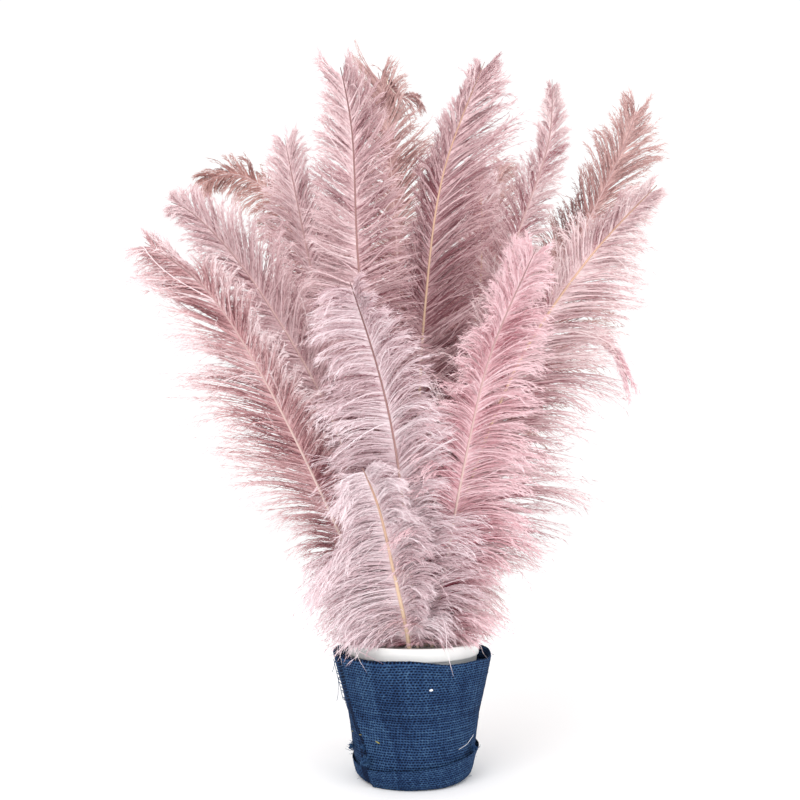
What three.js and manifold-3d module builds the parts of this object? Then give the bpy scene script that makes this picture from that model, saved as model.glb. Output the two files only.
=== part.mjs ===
// A bunch of dyed ostrich plumes standing in a white pot that is wrapped in navy burlap.
// Millimetres, +Z up. The origin is the centre of the pot's base; the front of the bunch faces -Y.
import * as THREE from "three";
import { mergeVertices } from "three/addons/utils/BufferGeometryUtils.js";
import Module from "manifold-3d";

// Pot and the foam block inside it
const POT_HEIGHT = 121;
const POT_BASE_RADIUS = 44.6;
const POT_RIM_RADIUS = 60.6;
const POT_WALL = 2.8;
const POT_FLOOR = 4;
const POT_RIM_BAND = 11;
const FOAM_TOP = 118;
const FOAM_BOTTOM_RADIUS = 41.2;
const FOAM_TOP_RADIUS = 57;
const FIT_GAP = 0.3;
const ROUND_STEPS = 32;

// Burlap sleeve: one sheet round the pot, its front edge lapped over its start, its hem turned up as a cuff
const CLOTH_TOP = 110;
const CLOTH_STEPS = 30;
const CLOTH_LAP_DEG = 22;
const CLOTH_LAP_RISE = 2.2;
const SEAM_TOP_DEG = 196;
const SEAM_FOOT_DEG = 221;
const CLOTH_PROFILE = [
  [46.2, 0.6], [51.5, 2.2], [54.2, 10], [56.4, 18], [58.8, 24], [55.9, 21.5], [57.4, 40], [60.2, 58], [72.6, CLOTH_TOP],
  [71, CLOTH_TOP], [58.6, 58], [55.8, 40], [53.6, 20], [49.8, 6.5], [46.2, 2.6],
];

// Plumes stand in a fan of layers, front to back. A layer's depth grows with height, so layers never meet.
const FOOT_Z = 84;
const CLEAR_OF_FOAM = 44;
const LAYER_PITCH = 3.5;
const LAYER_SPREAD = 0.066;
const FAN_BEND = 50;
const FAN_HALF_WIDTH = 280;
const FAN_WRAP = 0.3;
const FAN_SWAY = 10;
const FAN_SWAY_LENGTH = 62;
const FAN_SWAY_RISE = 200;

// Quill and barb locks
const QUILL_HALF_WIDTH = 1.9;
const QUILL_HALF_DEPTH = 1.55;
const QUILL_TIP_SHARE = 0.35;
const LOCK_PITCH = 23;
const LOCK_WAIST = 0.4;
const LOCK_TIP_WAIST = 0.26;
const LOCK_BODY_AT = 0.5;
const LOCK_HALF_DEPTH = 0.7;
const LOCK_ROOT_ANGLE = 72;
const LOCK_TIP_ANGLE = 30;
const LOCK_ROOT_DROOP = 0.45;
const LOCK_TIP_DROOP = 0.12;
const LOCK_CAMBER = 0.75;
const LAYER_CLEARANCE = 3.2;

const TONES = {
  mauve: { colour: 0xd2b4b7, roughness: 0.85 },
  rose: { colour: 0xd9a3ab, roughness: 0.85 },
  tan: { colour: 0xb28a83, roughness: 0.88 },
};

// Each plume, front layer first. spine: [x, z] of its shaft from the foot to the tip, seen from the front.
// bare: the bare quill's share of the length. barb: the longest barbs' reach to each side. base: the reach of
// the lowest barbs, as a share of the longest. curl: how far the tip bends out of its layer towards the front.
const PLUMES = [
  { name: "plume_front_low", tone: "mauve", barb: 52, bare: 0.22, base: 1.3, curl: 34,
    spine: [[-3, FOOT_Z], [-5, 125], [-18, 189], [-30, 244], [-43, 278]] },
  { name: "plume_front_curl", tone: "mauve", barb: 56, bare: 0.18, base: 1.2, curl: 30,
    spine: [[5, FOOT_Z], [3, 125], [-6, 215], [-17, 297], [-31, 356], [-51, 414]] },
  { name: "plume_rose_right", tone: "rose", barb: 50, bare: 0.15, base: 1.4, curl: 12,
    spine: [[16, FOOT_Z], [17, 125], [29, 201], [44, 290], [62, 370], [96, 450]] },
  { name: "plume_low_left", tone: "rose", barb: 60, bare: 0.15, base: 0.9, curl: 8,
    spine: [[-22, FOOT_Z], [-27, 125], [-77, 249], [-124, 348], [-170, 420], [-228, 464]] },
  { name: "plume_wide_right", tone: "mauve", barb: 58, bare: 0.14, base: 1.3, curl: 6,
    spine: [[8, FOOT_Z], [12, 125], [46, 255], [89, 366], [145, 450], [210, 518]] },
  { name: "plume_left", tone: "mauve", barb: 48, bare: 0.36, base: 0.7, curl: 0,
    spine: [[-14, FOOT_Z], [-18, 125], [-66, 305], [-128, 421], [-185, 489], [-224, 508]] },
  { name: "plume_tall_left", tone: "mauve", barb: 58, bare: 0.34, base: 0.7, curl: 0,
    spine: [[-6, FOOT_Z], [-8, 125], [-33, 310], [-48, 450], [-53, 560], [-68, 632]] },
  { name: "plume_mid_left", tone: "mauve", barb: 44, bare: 0.38, base: 0.7, curl: 0,
    spine: [[-26, FOOT_Z], [-28, 125], [-60, 325], [-88, 440], [-106, 527], [-115, 574]] },
  { name: "plume_tall_right", tone: "mauve", barb: 56, bare: 0.36, base: 0.7, curl: 0,
    spine: [[2, FOOT_Z], [1, 125], [4, 300], [11, 430], [28, 550], [70, 662]] },
  { name: "plume_slender", tone: "mauve", barb: 32, bare: 0.38, base: 0.7, curl: 0,
    spine: [[22, FOOT_Z], [24, 125], [62, 350], [97, 490], [130, 590], [134, 664]] },
  { name: "plume_tan_right", tone: "tan", barb: 52, bare: 0.34, base: 0.7, curl: 0,
    spine: [[12, FOOT_Z], [15, 125], [76, 325], [150, 478], [200, 578], [227, 648]] },
  { name: "plume_centre", tone: "rose", barb: 50, bare: 0.36, base: 0.7, curl: 0,
    spine: [[-12, FOOT_Z], [-9, 125], [34, 295], [64, 430], [71, 530], [66, 608]] },
  { name: "plume_tallest", tone: "tan", barb: 54, bare: 0.4, base: 0.7, curl: 0,
    spine: [[-2, FOOT_Z], [-3, 125], [-12, 440], [-22, 600], [-30, 680], [-46, 742]] },
  { name: "plume_arching_left", tone: "tan", barb: 27, bare: 0.42, base: 0.7, curl: 0,
    spine: [[-20, FOOT_Z], [-24, 125], [-78, 390], [-122, 530], [-156, 580], [-200, 598], [-242, 572]] },
  { name: "plume_drooping_right", tone: "rose", barb: 22, bare: 0.36, base: 0.7, curl: 0,
    spine: [[20, FOOT_Z], [24, 125], [84, 285], [140, 386], [176, 418], [206, 406], [224, 358]] },
  { name: "plume_back_tan", tone: "tan", barb: 54, bare: 0.34, base: 0.7, curl: 0,
    spine: [[4, FOOT_Z], [5, 125], [36, 330], [78, 520], [114, 662]] },
  { name: "plume_back_left", tone: "mauve", barb: 56, bare: 0.34, base: 0.7, curl: 0,
    spine: [[-14, FOOT_Z], [-17, 125], [-46, 330], [-78, 500], [-98, 620]] },
  { name: "plume_back_right", tone: "tan", barb: 54, bare: 0.34, base: 0.7, curl: 0,
    spine: [[14, FOOT_Z], [18, 125], [70, 330], [138, 480], [196, 570]] },
  { name: "plume_back_low_left", tone: "rose", barb: 54, bare: 0.32, base: 0.7, curl: 0,
    spine: [[-10, FOOT_Z], [-14, 125], [-68, 290], [-130, 430], [-190, 520]] },
  { name: "plume_back_centre", tone: "mauve", barb: 56, bare: 0.3, base: 0.7, curl: 0,
    spine: [[0, FOOT_Z], [0, 125], [2, 280], [10, 420], [24, 540]] },
  { name: "plume_back_low", tone: "rose", barb: 54, bare: 0.2, base: 1.2, curl: -8,
    spine: [[8, FOOT_Z], [10, 125], [22, 230], [32, 320], [36, 392]] },
];
const MIDDLE_LAYER = (PLUMES.length - 1) / 2;

const wasm = await Module();
wasm.setup();

// How far a layer has spread from its neighbour at height z.
function layerGap(z) {
  const up = z - FOAM_TOP;
  const spread = up < 0 ? 0.4 * up : 0.4 * up + (0.6 * up * up) / (up + FAN_BEND);
  return LAYER_PITCH + LAYER_SPREAD * spread;
}

// The fan's depth (y) at a point (x, z) of one layer. The layers wrap round the bunch at its sides, and sway
// to the front and back all together, more so higher up.
function layerDepth(layer, x, z) {
  const wrap = 1 - FAN_WRAP * (x / FAN_HALF_WIDTH) ** 2;
  const sway = FAN_SWAY * THREE.MathUtils.clamp((z - FOAM_TOP) / FAN_SWAY_RISE, 0, 1);
  return (layer - MIDDLE_LAYER) * layerGap(z) * wrap + sway * Math.sin(x / FAN_SWAY_LENGTH);
}

function toGeometry(vertices, triangles) {
  const geometry = new THREE.BufferGeometry();
  geometry.setAttribute("position", new THREE.Float32BufferAttribute(vertices.flat(), 3));
  geometry.setIndex(triangles.flat());
  geometry.computeVertexNormals();
  return geometry;
}

// Collects vertices and faces of one closed solid; every face is listed anticlockwise seen from outside.
function solidBuilder() {
  const vertices = [];
  const triangles = [];
  return {
    vertex(x, y, z) {
      vertices.push([x, y, z]);
      return vertices.length - 1;
    },
    tri(a, b, c) {
      triangles.push([a, b, c]);
    },
    quad(a, b, c, d) {
      triangles.push([a, b, c], [a, c, d]);
    },
    geometry: () => toGeometry(vertices, triangles),
  };
}

function toManifold(geometry) {
  const bare = geometry.clone();
  bare.deleteAttribute("normal");
  bare.deleteAttribute("uv");
  const merged = mergeVertices(bare, 1e-4);
  return new wasm.Manifold(
    new wasm.Mesh({
      numProp: 3,
      vertProperties: merged.attributes.position.array,
      triVerts: new Uint32Array(merged.index.array),
    }),
  );
}

function fromManifold(solid) {
  const mesh = solid.getMesh();
  const geometry = new THREE.BufferGeometry();
  geometry.setAttribute("position", new THREE.BufferAttribute(mesh.vertProperties, 3));
  geometry.setIndex(new THREE.BufferAttribute(mesh.triVerts, 1));
  geometry.computeVertexNormals();
  return geometry;
}

// One plume's shaft in its layer: points, directions and widths at a share t of its length.
function shaftOf(plume, layer) {
  const curve = new THREE.SplineCurve(plume.spine.map(([x, z]) => new THREE.Vector2(x, z)));
  const length = curve.getLength();
  return {
    length,
    at(t) {
      const point = curve.getPointAt(t);
      const along = curve.getTangentAt(t);
      return {
        t,
        point,
        along,
        right: new THREE.Vector2(along.y, -along.x),
        taper: 1 - (1 - QUILL_TIP_SHARE) * t,
      };
    },
    // The point (x, z) of the layer, lifted into space and moved towards the back by behind.
    lift(point, t, behind) {
      const curl = plume.curl * Math.max(0, (t - 0.6) / 0.4) ** 2;
      return [point.x, layerDepth(layer, point.x, point.y) - curl + behind, point.y];
    },
  };
}

// The four corners of the shaft at one station: front left, front right, back right, back left.
function shaftCorners(solid, shaft, t, grow = 0) {
  const { point, right, taper } = shaft.at(t);
  const halfWidth = QUILL_HALF_WIDTH * taper + grow;
  const halfDepth = QUILL_HALF_DEPTH * taper + grow;
  const corner = (side, behind) => {
    const edge = point.clone().addScaledVector(right, side * halfWidth);
    return solid.vertex(...shaft.lift(edge, t, behind * halfDepth));
  };
  return [corner(-1, -1), corner(1, -1), corner(1, 1), corner(-1, 1)];
}

// How far barbs reach sideways at a share v of the vane, from the quill (0) to the tip (1).
function vaneWidth(plume, v) {
  const fromBase = THREE.MathUtils.lerp(plume.base, 1, Math.min(1, v / 0.3));
  return plume.barb * fromBase * (1 - 0.74 * v ** 2.6);
}

// One lock of barbs, grown from the shaft's side between two stations. It leaves the shaft at an angle,
// droops under its weight and narrows to a point.
function addLock(solid, shaft, plume, layer, low, high, side, v) {
  const t = (low.t + high.t) / 2;
  const { point, along, right } = shaft.at(t);
  const angle = THREE.MathUtils.degToRad(LOCK_ROOT_ANGLE + (LOCK_TIP_ANGLE - LOCK_ROOT_ANGLE) * v);
  const reach = vaneWidth(plume, v);
  const droop = THREE.MathUtils.lerp(LOCK_ROOT_DROOP, LOCK_TIP_DROOP, v);
  const camber = LOCK_CAMBER * (layerGap(point.y) - LAYER_CLEARANCE) * (layer < MIDDLE_LAYER ? -1 : 1);
  const waist = THREE.MathUtils.lerp(LOCK_WAIST, LOCK_TIP_WAIST, v) * (high.t - low.t) * shaft.length;
  const place = (share, slide, behind) => {
    const sideways = reach * share;
    const spot = point.clone();
    spot.addScaledVector(right, side * sideways);
    spot.addScaledVector(along, (sideways / Math.tan(angle)) * (1 - 0.25 * share) + slide);
    spot.y -= droop * reach * share ** 2;
    return solid.vertex(...shaft.lift(spot, t, camber * share ** 2 + behind));
  };
  const lower = place(LOCK_BODY_AT, -waist, -LOCK_HALF_DEPTH);
  const upper = place(LOCK_BODY_AT, waist, -LOCK_HALF_DEPTH);
  const back = place(LOCK_BODY_AT, 0, LOCK_HALF_DEPTH);
  const tip = place(1, 0, 0);
  const [frontLow, frontHigh, backLow, backHigh] =
    side > 0
      ? [low.corners[1], high.corners[1], low.corners[2], high.corners[2]]
      : [low.corners[0], high.corners[0], low.corners[3], high.corners[3]];
  // The left side is the right side's mirror image, so its faces are listed the other way round.
  const tri = side > 0 ? solid.tri : (a, b, c) => solid.tri(a, c, b);
  const quad = (a, b, c, d) => {
    tri(a, b, c);
    tri(a, c, d);
  };
  quad(frontLow, backLow, back, lower);
  tri(backLow, backHigh, back);
  quad(backHigh, frontHigh, upper, back);
  quad(frontHigh, frontLow, lower, upper);
  tri(lower, back, tip);
  tri(back, upper, tip);
  tri(upper, lower, tip);
}

// A whole plume: bare quill, shaft, a row of barb locks on each side, and a pointed tip.
function plumeGeometry(plume, layer) {
  const solid = solidBuilder();
  const shaft = shaftOf(plume, layer);
  const aboveFoam = CLEAR_OF_FOAM / shaft.length;
  const vaneStart = Math.max(plume.bare, aboveFoam + 0.02);
  const vaneEnd = 0.965;
  const lockCount = Math.round(((vaneEnd - vaneStart) * shaft.length) / LOCK_PITCH);
  const quillStations = [0, aboveFoam];
  const vaneStations = Array.from({ length: lockCount + 1 }, (_, i) =>
    THREE.MathUtils.lerp(vaneStart, vaneEnd, i / lockCount),
  );
  const stations = [...quillStations, ...vaneStations].map((t) => ({ t, corners: shaftCorners(solid, shaft, t) }));

  for (let i = 0; i + 1 < stations.length; i++) {
    const [low, high] = [stations[i], stations[i + 1]];
    const [fl, fr, br, bl] = low.corners;
    const [flUp, frUp, brUp, blUp] = high.corners;
    solid.quad(fl, fr, frUp, flUp);
    solid.quad(br, bl, blUp, brUp);
    const lock = i - quillStations.length;
    if (lock < 0) {
      solid.quad(fr, br, brUp, frUp);
      solid.quad(bl, fl, flUp, blUp);
    } else {
      const v = (lock + 0.5) / lockCount;
      addLock(solid, shaft, plume, layer, low, high, 1, v);
      addLock(solid, shaft, plume, layer, low, high, -1, v);
    }
  }

  const [fl, fr, br, bl] = stations[0].corners;
  solid.quad(fr, fl, bl, br);
  const [flTop, frTop, brTop, blTop] = stations.at(-1).corners;
  const end = shaft.at(1);
  const point = solid.vertex(...shaft.lift(end.point, 1, 0));
  solid.tri(flTop, frTop, point);
  solid.tri(frTop, brTop, point);
  solid.tri(brTop, blTop, point);
  solid.tri(blTop, flTop, point);
  return solid.geometry();
}

// The stretch of quill that stands in the foam, a little fatter, to cut its hole.
function quillHole(plume, layer) {
  const solid = solidBuilder();
  const shaft = shaftOf(plume, layer);
  const foot = shaftCorners(solid, shaft, 0, FIT_GAP);
  const top = shaftCorners(solid, shaft, CLEAR_OF_FOAM / shaft.length, FIT_GAP);
  solid.quad(foot[1], foot[0], foot[3], foot[2]);
  solid.quad(top[0], top[1], top[2], top[3]);
  for (let i = 0; i < 4; i++) {
    const next = (i + 1) % 4;
    solid.quad(foot[i], foot[next], top[next], top[i]);
  }
  return toManifold(solid.geometry());
}

function lathe(profile) {
  const geometry = new THREE.LatheGeometry(
    profile.map(([r, z]) => new THREE.Vector2(r, z)),
    ROUND_STEPS,
  );
  return geometry.rotateX(Math.PI / 2);
}

function potGeometry() {
  const bandFoot = POT_HEIGHT - POT_RIM_BAND;
  const wallTopRadius = POT_RIM_RADIUS - 1.4;
  return lathe([
    [0, 0],
    [POT_BASE_RADIUS, 0],
    [wallTopRadius, bandFoot - 1.4],
    [POT_RIM_RADIUS, bandFoot],
    [POT_RIM_RADIUS, POT_HEIGHT],
    [POT_RIM_RADIUS - POT_WALL, POT_HEIGHT],
    [FOAM_BOTTOM_RADIUS + FIT_GAP, POT_FLOOR],
    [0, POT_FLOOR],
  ]);
}

function foamGeometry() {
  const block = toManifold(
    lathe([
      [0, POT_FLOOR + FIT_GAP],
      [FOAM_BOTTOM_RADIUS, POT_FLOOR + FIT_GAP],
      [FOAM_TOP_RADIUS - FIT_GAP, FOAM_TOP],
      [0, FOAM_TOP],
    ]),
  );
  const drilled = PLUMES.reduce((foam, plume, layer) => foam.subtract(quillHole(plume, layer)), block);
  return fromManifold(drilled);
}

// How far the cloth stands out where its front edge lies over its start, turn degrees from that edge.
function lapRise(turn) {
  const settle = THREE.MathUtils.smoothstep(turn, CLOTH_LAP_DEG + 6, 90);
  return CLOTH_LAP_RISE * (1 - settle);
}

// The burlap sleeve: its cross-section swept once round the pot and on under its own front edge.
function burlapGeometry() {
  const solid = solidBuilder();
  const ring = (step) => {
    const turn = (step / CLOTH_STEPS) * (360 + CLOTH_LAP_DEG);
    return CLOTH_PROFILE.map(([r, z]) => {
      const seam = THREE.MathUtils.lerp(SEAM_FOOT_DEG, SEAM_TOP_DEG, z / CLOTH_TOP);
      const angle = THREE.MathUtils.degToRad(seam + turn);
      const wave = z === CLOTH_TOP ? 1.1 * Math.sin(3 * angle + 0.6) + 0.8 * Math.sin(7 * angle) : 0;
      const radius = r + lapRise(turn);
      return solid.vertex(radius * Math.cos(angle), radius * Math.sin(angle), z + wave);
    });
  };
  const rings = Array.from({ length: CLOTH_STEPS + 1 }, (_, step) => ring(step));
  const count = CLOTH_PROFILE.length;
  for (let step = 0; step < CLOTH_STEPS; step++) {
    for (let j = 0; j < count; j++) {
      const next = (j + 1) % count;
      solid.quad(rings[step][j], rings[step + 1][j], rings[step + 1][next], rings[step][next]);
    }
  }
  const outline = CLOTH_PROFILE.map(([r, z]) => new THREE.Vector2(r, z));
  for (const [a, b, c] of THREE.ShapeUtils.triangulateShape(outline, [])) {
    solid.tri(rings[0][a], rings[0][b], rings[0][c]);
    solid.tri(rings[CLOTH_STEPS][a], rings[CLOTH_STEPS][c], rings[CLOTH_STEPS][b]);
  }
  return solid.geometry();
}

function addPart(group, name, geometry, colour, roughness) {
  const material = new THREE.MeshStandardMaterial({ color: colour, roughness, metalness: 0 });
  const mesh = new THREE.Mesh(geometry, material);
  mesh.name = name;
  group.add(mesh);
}

const bunch = new THREE.Group();
addPart(bunch, "pot", potGeometry(), 0xf4f4f2, 0.45);
addPart(bunch, "foam_block", foamGeometry(), 0xe9e9e4, 0.95);
addPart(bunch, "burlap_wrap", burlapGeometry(), 0x273f65, 0.95);
PLUMES.forEach((plume, layer) => {
  const { colour, roughness } = TONES[plume.tone];
  addPart(bunch, plume.name, plumeGeometry(plume, layer), colour, roughness);
});

export default bunch;
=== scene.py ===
"""A bunch of dyed ostrich plumes in a white pot that is wrapped in navy burlap.

+Z is up and the front of the bunch faces -Y. Values with MM are in metres, and the
plumes' own are in millimetres.
"""

import math
from types import SimpleNamespace

import bpy
import numpy as np
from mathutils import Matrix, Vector

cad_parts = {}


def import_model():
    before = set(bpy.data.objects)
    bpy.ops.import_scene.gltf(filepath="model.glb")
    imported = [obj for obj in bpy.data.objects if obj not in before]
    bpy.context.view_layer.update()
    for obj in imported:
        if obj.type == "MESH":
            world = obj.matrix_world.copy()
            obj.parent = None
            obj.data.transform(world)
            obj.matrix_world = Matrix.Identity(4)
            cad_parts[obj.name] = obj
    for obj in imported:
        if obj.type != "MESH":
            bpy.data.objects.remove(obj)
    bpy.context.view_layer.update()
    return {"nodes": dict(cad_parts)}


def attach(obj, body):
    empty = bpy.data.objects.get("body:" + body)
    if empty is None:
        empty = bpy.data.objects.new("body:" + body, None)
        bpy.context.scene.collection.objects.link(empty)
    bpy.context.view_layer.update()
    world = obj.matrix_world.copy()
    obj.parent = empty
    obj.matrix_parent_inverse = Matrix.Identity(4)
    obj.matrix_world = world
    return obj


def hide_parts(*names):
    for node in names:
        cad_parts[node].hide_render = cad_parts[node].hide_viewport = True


MM = 0.001

# Camera, as the photograph was taken: a focal length of 926 pixels in a picture 800 pixels wide
CAMERA_PLACE = (-0.01235, -0.880, 0.252)
CAMERA_PITCH = math.radians(6.0)
SENSOR_WIDTH = 36
CAMERA_LENS = 926 / 800 * SENSOR_WIDTH

# Pot
POT_HEIGHT = 121 * MM
POT_BASE_RADIUS = 44.6 * MM
POT_RIM_RADIUS = 60.6 * MM
POT_WALL = 2.8 * MM
POT_FLOOR = 4 * MM
POT_FLOOR_RADIUS = 41.5 * MM
POT_RIM_BAND = 11 * MM
POT_STEPS = 96

# Burlap sleeve. The seam is the lapped front edge, as (height in millimetres, degrees round the sleeve), and
# the lap is the stretch where the cloth lies over its own start.
CLOTH_TOP = 110 * MM
CLOTH_LOWEST = 0.35 * MM
CLOTH_MEAN_RADIUS = 61 * MM
CLOTH_SAG = 0.5 * MM
CLOTH_LAP_DEG = 22
CLOTH_LAP_RISE = 2.0 * MM
LAP_SETTLES_DEG = (CLOTH_LAP_DEG + 6, 90)
CLOTH_EDGE_CURL = 0.8 * MM
EDGE_CURL_DEG = 5
# A painted shadow darkens the cloth just under the lapped edge: how dark, and over which degrees of the turn
SEAM_SHADOW = 1.5
SEAM_SHADOW_DEG = (345, 352)
SEAM = [(0, 228), (31, 226), (41, 223.5), (53, 217), (67, 213), (85, 211), (110, 211)]
CUFF_TILT = 0.24
CUFF_TILT_FROM_DEG = 300
CUFF_LOWER = 0.1
CUFF_HIGHEST = (61.0, 29.5)

# The top edge's waves, as (millimetres, waves round the pot, phase), and its two corners, as
# (degrees round the sleeve, width in degrees, rise, flare)
TOP_WAVES = [(1.1, 3, 0.6), (0.8, 7, 0)]
SIDE_PEAKS = [(352, 24, -1.5, -0.5), (186, 20, 3.0, 1.5)]

# The cloth's section, from the cuff's free edge down, round the fold, up inside and over the top edge
CUFF_POINTS = 7
CLOTH_SECTION = [
    (58.8, 24.3), (57.6, 21), (56.4, 17), (54.9, 10), (53.2, 4.5), (50.5, 1.4), (46.6, 0.7),
    (47.8, 2.4), (51.4, 6), (53.2, 12), (54.6, 18), (55.6, 22), (56.4, 29), (57.6, 40), (60.2, 58),
    (64.4, 75), (69.4, 95), (72.6, 109), (72.4, 110.2), (71.4, 110.3), (70.4, 107), (69.0, 100),
]

# Weave: the pitch of the threads, mesh samples to a pitch, and the relief
WARP_PITCH = 2.7 * MM
WEFT_PITCH = 2.25 * MM
WARP_SAMPLES = 2
WEFT_SAMPLES = 2
WEAVE_DEPTH = 0.45 * MM
WEFT_FADE_THREADS = 25

# Weave colours: how far the threads wander, how much each effect lightens or darkens (a painted highlight on
# the weft threads' crowns and painted shade in the gaps between threads), and the dye's stops
THREAD_WOBBLE = 1.3
RIDGE_PAINTED_HIGHLIGHT = 0.06
GAP_PAINTED_SHADE = 1.1
THREAD_WEIGHT = 0.45
FIBRE_WEIGHT = 0.6
PATCH_WEIGHT = 0.25
BURLAP_STOPS = [(0.2, (5, 10, 26)), (0.48, (24, 41, 72)), (0.7, (42, 68, 105)), (0.98, (80, 112, 142))]

# Loose threads
THREAD_RADIUS = 0.42 * MM
FIBRE_RADIUS = 0.13 * MM
LADDER_THREADS = 13
LADDER_TOP = 108
LADDER_FOOT = 74
HEM_FIBRES = 170
HEM_HEIGHTS = [24.0, 5.0, 110.0]
HEM_SHARES = [0.5, 0.3, 0.2]
KNOT_THREADS = 16

# Long threads at the lapped edge: for each end, the angle past the edge in radians, the height and the lift
LADDER_RAILS = [((0.1, 108, 4.6), (0.1, 72, 4.6)), ((0.15, 108, 5.4), (0.15, 72, 5.4))]
LONG_THREADS = [
    ((0.12, 92, 5), (0.24, 70, 10)),
    ((0.16, 74, 4), (0.1, 36, 2)),
    ((0.02, 60, 3), (0.07, 30, 3)),
    ((0.08, 112, 5), (0.17, 96, 9)),
]

# Knots of tangled thread, as (degrees round the sleeve, height, lift, half size) in millimetres
KNOTS = [(228, 24, 4.5, 5.0), (201, 30, 3.5, 2.6), (333, 30, 3.0, 2.8), (222, 34, 3.0, 2.2)]

# Lint on the cloth: each bit's two ends as (degrees round the sleeve, height), and its half width
LINT_LIFT = 2.2
LINT_COLOURS = {"lint_white": (244, 244, 246), "lint_yellow": (150, 142, 72)}
LINT = [
    ("white_speck", "lint_white", [((280.5, 88), (283, 88.5), 1.0)]),
    ("pale_thread", "lint_white", [((311, 33), (323, 36), 0.16), ((322, 35.5), (333, 42), 0.16)]),
    ("yellow_thread_ends", "lint_yellow", [
        ((203, 44), (206, 44), 0.3), ((216, 43.5), (220, 44), 0.3), ((236, 41.5), (240, 40), 0.55),
    ]),
]

# The fan of layers that the plumes stand in, front to back
FOOT_Z = 84
FOAM_TOP = 118
OVER_FOAM_Z = 125
CLEAR_OF_FOAM = 44
LAYER_PITCH = 3.5
LAYER_SPREAD = 0.066
FAN_BEND = 50
FAN_HALF_WIDTH = 280
FAN_WRAP = 0.3
FAN_SWAY = 10
FAN_SWAY_LENGTH = 62
FAN_SWAY_RISE = 200

# Shaft
QUILL_HALF_WIDTH = 1.7
QUILL_TIP_SHARE = 0.3
SHAFT_SAMPLES = 400
LOW_SAMPLES = 100
SHAFT_SIDES = 8
SHAFT_STATIONS = 44
SHAFT_PAST_BARBS = 0.015
CURL_FROM = 0.6

# Barbs: a barb's width, and its share at the root and the tip
BARB_STEPS = 9
BARB_WIDTH = 0.8
BARB_ROOT_WIDTH = 1.3
BARB_TIP_WIDTH = 0.35
BARB_FACING = 0.35
BARB_OVER_REACH = 1.42
ROOT_JITTER = 0.3
VANE_TAPER = 2.6
HOOK_FROM = 0.55
VANE_LOWER = 0.015
DOWN_OVERLAP = 0.02

# Barbs stick together in locks, and change slowly from tuft to tuft. A few are short or stray.
LOCK_BARBS = 5
TUFT_BARBS = 34
RAGGED_BARBS = 70
LOCK_PULL = 0.42
LOCK_PULL_MOST = 0.9
SHORT_SHARE = 0.12
SHORT_LENGTHS = (0.5, 0.85)
STRAY_SHARE = 0.07
STRAY_ROOT = 0.16
STRAY_BEND = 0.5
STRAY_LIFT = 0.18

# How much barbs vary: from tuft to tuft, from lock to lock and from barb to barb
SPREAD = {
    "root": (2.2, 0.7, 0.6), "bend": (7, 4, 3), "hook": (14, 12, 12), "wave": (4, 4, 2),
    "phase": (1.5, 0.6, 0.2), "lift": (0.07, 0.07, 0.04), "camber": (0.36, 0.3, 0.12),
    "droop": (0.2, 0.12, 0.08), "length": (0.12, 0.07, 0.11), "pull": (0, 0.18, 0.12),
    "tone": (0.07, 0.07, 0.13),
}

# Barbules, the fluff on each barb
BARBULES_PER_BARB = 18
BARBULE_LENGTH = 8.0
BARBULE_SHARES = (0.6, 1.15)
BARBULE_WIDTH = 0.6
BARBULE_LEAN = (1.6, 4.0)
BARBULE_ROLL = 0.6
BARBULE_DROOP = 0.12

# Shades of the dye: weights of a barb's own tone and of clouds, the share along a barb from where it fades,
# and where the three colours stand
TONE_WEIGHT = 0.7
CLOUD_WEIGHT = 0.25
CLOUD_SCALE = 14.0
FADE_FROM = 0.4
TONE_STOPS = (0.2, 0.49, 0.86)
# Painted light and shade: how much paler each barb's rib is, and how much darker its fluff is towards the
# barb's root
RIB_PAINTED_LIGHT = 0.14
FLUFF_PAINTED_SHADE = 0.12

# Where drooping barbs lie on the pot's rim, and how far out they hang clear of the burlap
RIM_REST = 122.5
CLEAR_OF_CLOTH = 75
HANG_LOWEST = 114
HANG_SHARE = 0.25

# Single barbs that hang over the rim: (x at the rim, x and z of the end) in millimetres, and the tone
RIM_STRANDS = [
    (-66, -63, 104, 0.8), (-52, -40, 101, 0.8), (28, 34, 98, 0.8), (58, 66, 108, 0.8), (-70, -69, 112, 0.8),
    (-50, -25, 110.5, 0.1),
]
STRAND_LEAST_DEPTH = 30

# Dye colours, as the eye sees them: the palest barbs, the usual colour and the deep colour, which also serves
# for the painted shade in the gaps, and then how much paler a barb's end is than its root
TONES = {
    "lilac": ((245, 230, 234), (222, 194, 200), (146, 92, 102), 0.25),
    "mauve": ((242, 220, 222), (210, 174, 178), (130, 74, 82), 0.3),
    "blush": ((244, 228, 228), (220, 189, 192), (156, 96, 104), 0.45),
    "rose": ((244, 214, 219), (215, 163, 171), (150, 62, 78), 0.8),
    "dusty": ((247, 230, 232), (205, 158, 160), (134, 78, 84), 0.85),
    "tan": ((216, 182, 178), (178, 136, 133), (104, 62, 64), 0.35),
    "brown": ((212, 172, 166), (166, 118, 112), (92, 54, 54), 0.35),
}

# Colours of the shafts, as (share of the length, colour)
SHAFT_COLOURS = {
    "shaft_rosy": [
        (0, (230, 212, 184)), (0.4, (232, 206, 198)), (0.75, (205, 170, 168)), (1, (150, 112, 112)),
    ],
    "shaft_golden": [
        (0, (234, 210, 178)), (0.5, (236, 206, 176)), (0.85, (208, 168, 144)), (1, (150, 112, 106)),
    ],
    "shaft_dark": [
        (0, (230, 208, 184)), (0.45, (222, 192, 182)), (0.65, (168, 128, 124)), (1, (120, 84, 84)),
    ],
}

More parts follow.
